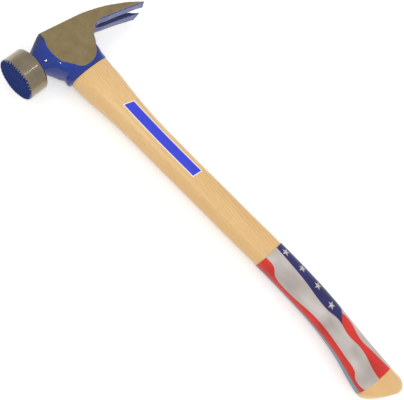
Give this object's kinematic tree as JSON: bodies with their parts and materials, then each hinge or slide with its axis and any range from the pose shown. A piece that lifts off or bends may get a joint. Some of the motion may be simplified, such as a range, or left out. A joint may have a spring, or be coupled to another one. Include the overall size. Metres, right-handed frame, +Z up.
{
  "type": "framing hammer",
  "caption": "Straight-claw framing hammer with a forged steel head, milled striking face, curved wooden handle, stuck-on label and printed grip wrap.",
  "frame": {"origin": "middle of the bounding box in X and Y, on the bench plane that the round striking end touches", "axes": "+X from the head to the butt of the handle, +Y from the striking face to the claws, +Z up through the upper cheek, which is the side the picture shows"},
  "size_m": [0.4342, 0.1348, 0.0392],
  "materials": {
    "head_steel": "ground and clear-lacquered cheeks, claw sides and striking end, blue enamel elsewhere",
    "handle_wood": "pale straight-grained hickory under a satin varnish",
    "wedge_wood": "bare darker wood, end grain showing in the eye",
    "wedge_steel": "plain mild steel",
    "label_film": "glossy blue film with a cream border, no lettering",
    "wrap_film": null
  },
  "bodies": {
    "root": {"head": "head_steel", "handle": "handle_wood", "eye_wedge": "wedge_wood", "steel_wedge_front": "wedge_steel", "steel_wedge_rear": "wedge_steel", "handle_label": "label_film", "grip_wrap": "wrap_film"}
  },
  "joints": []
}
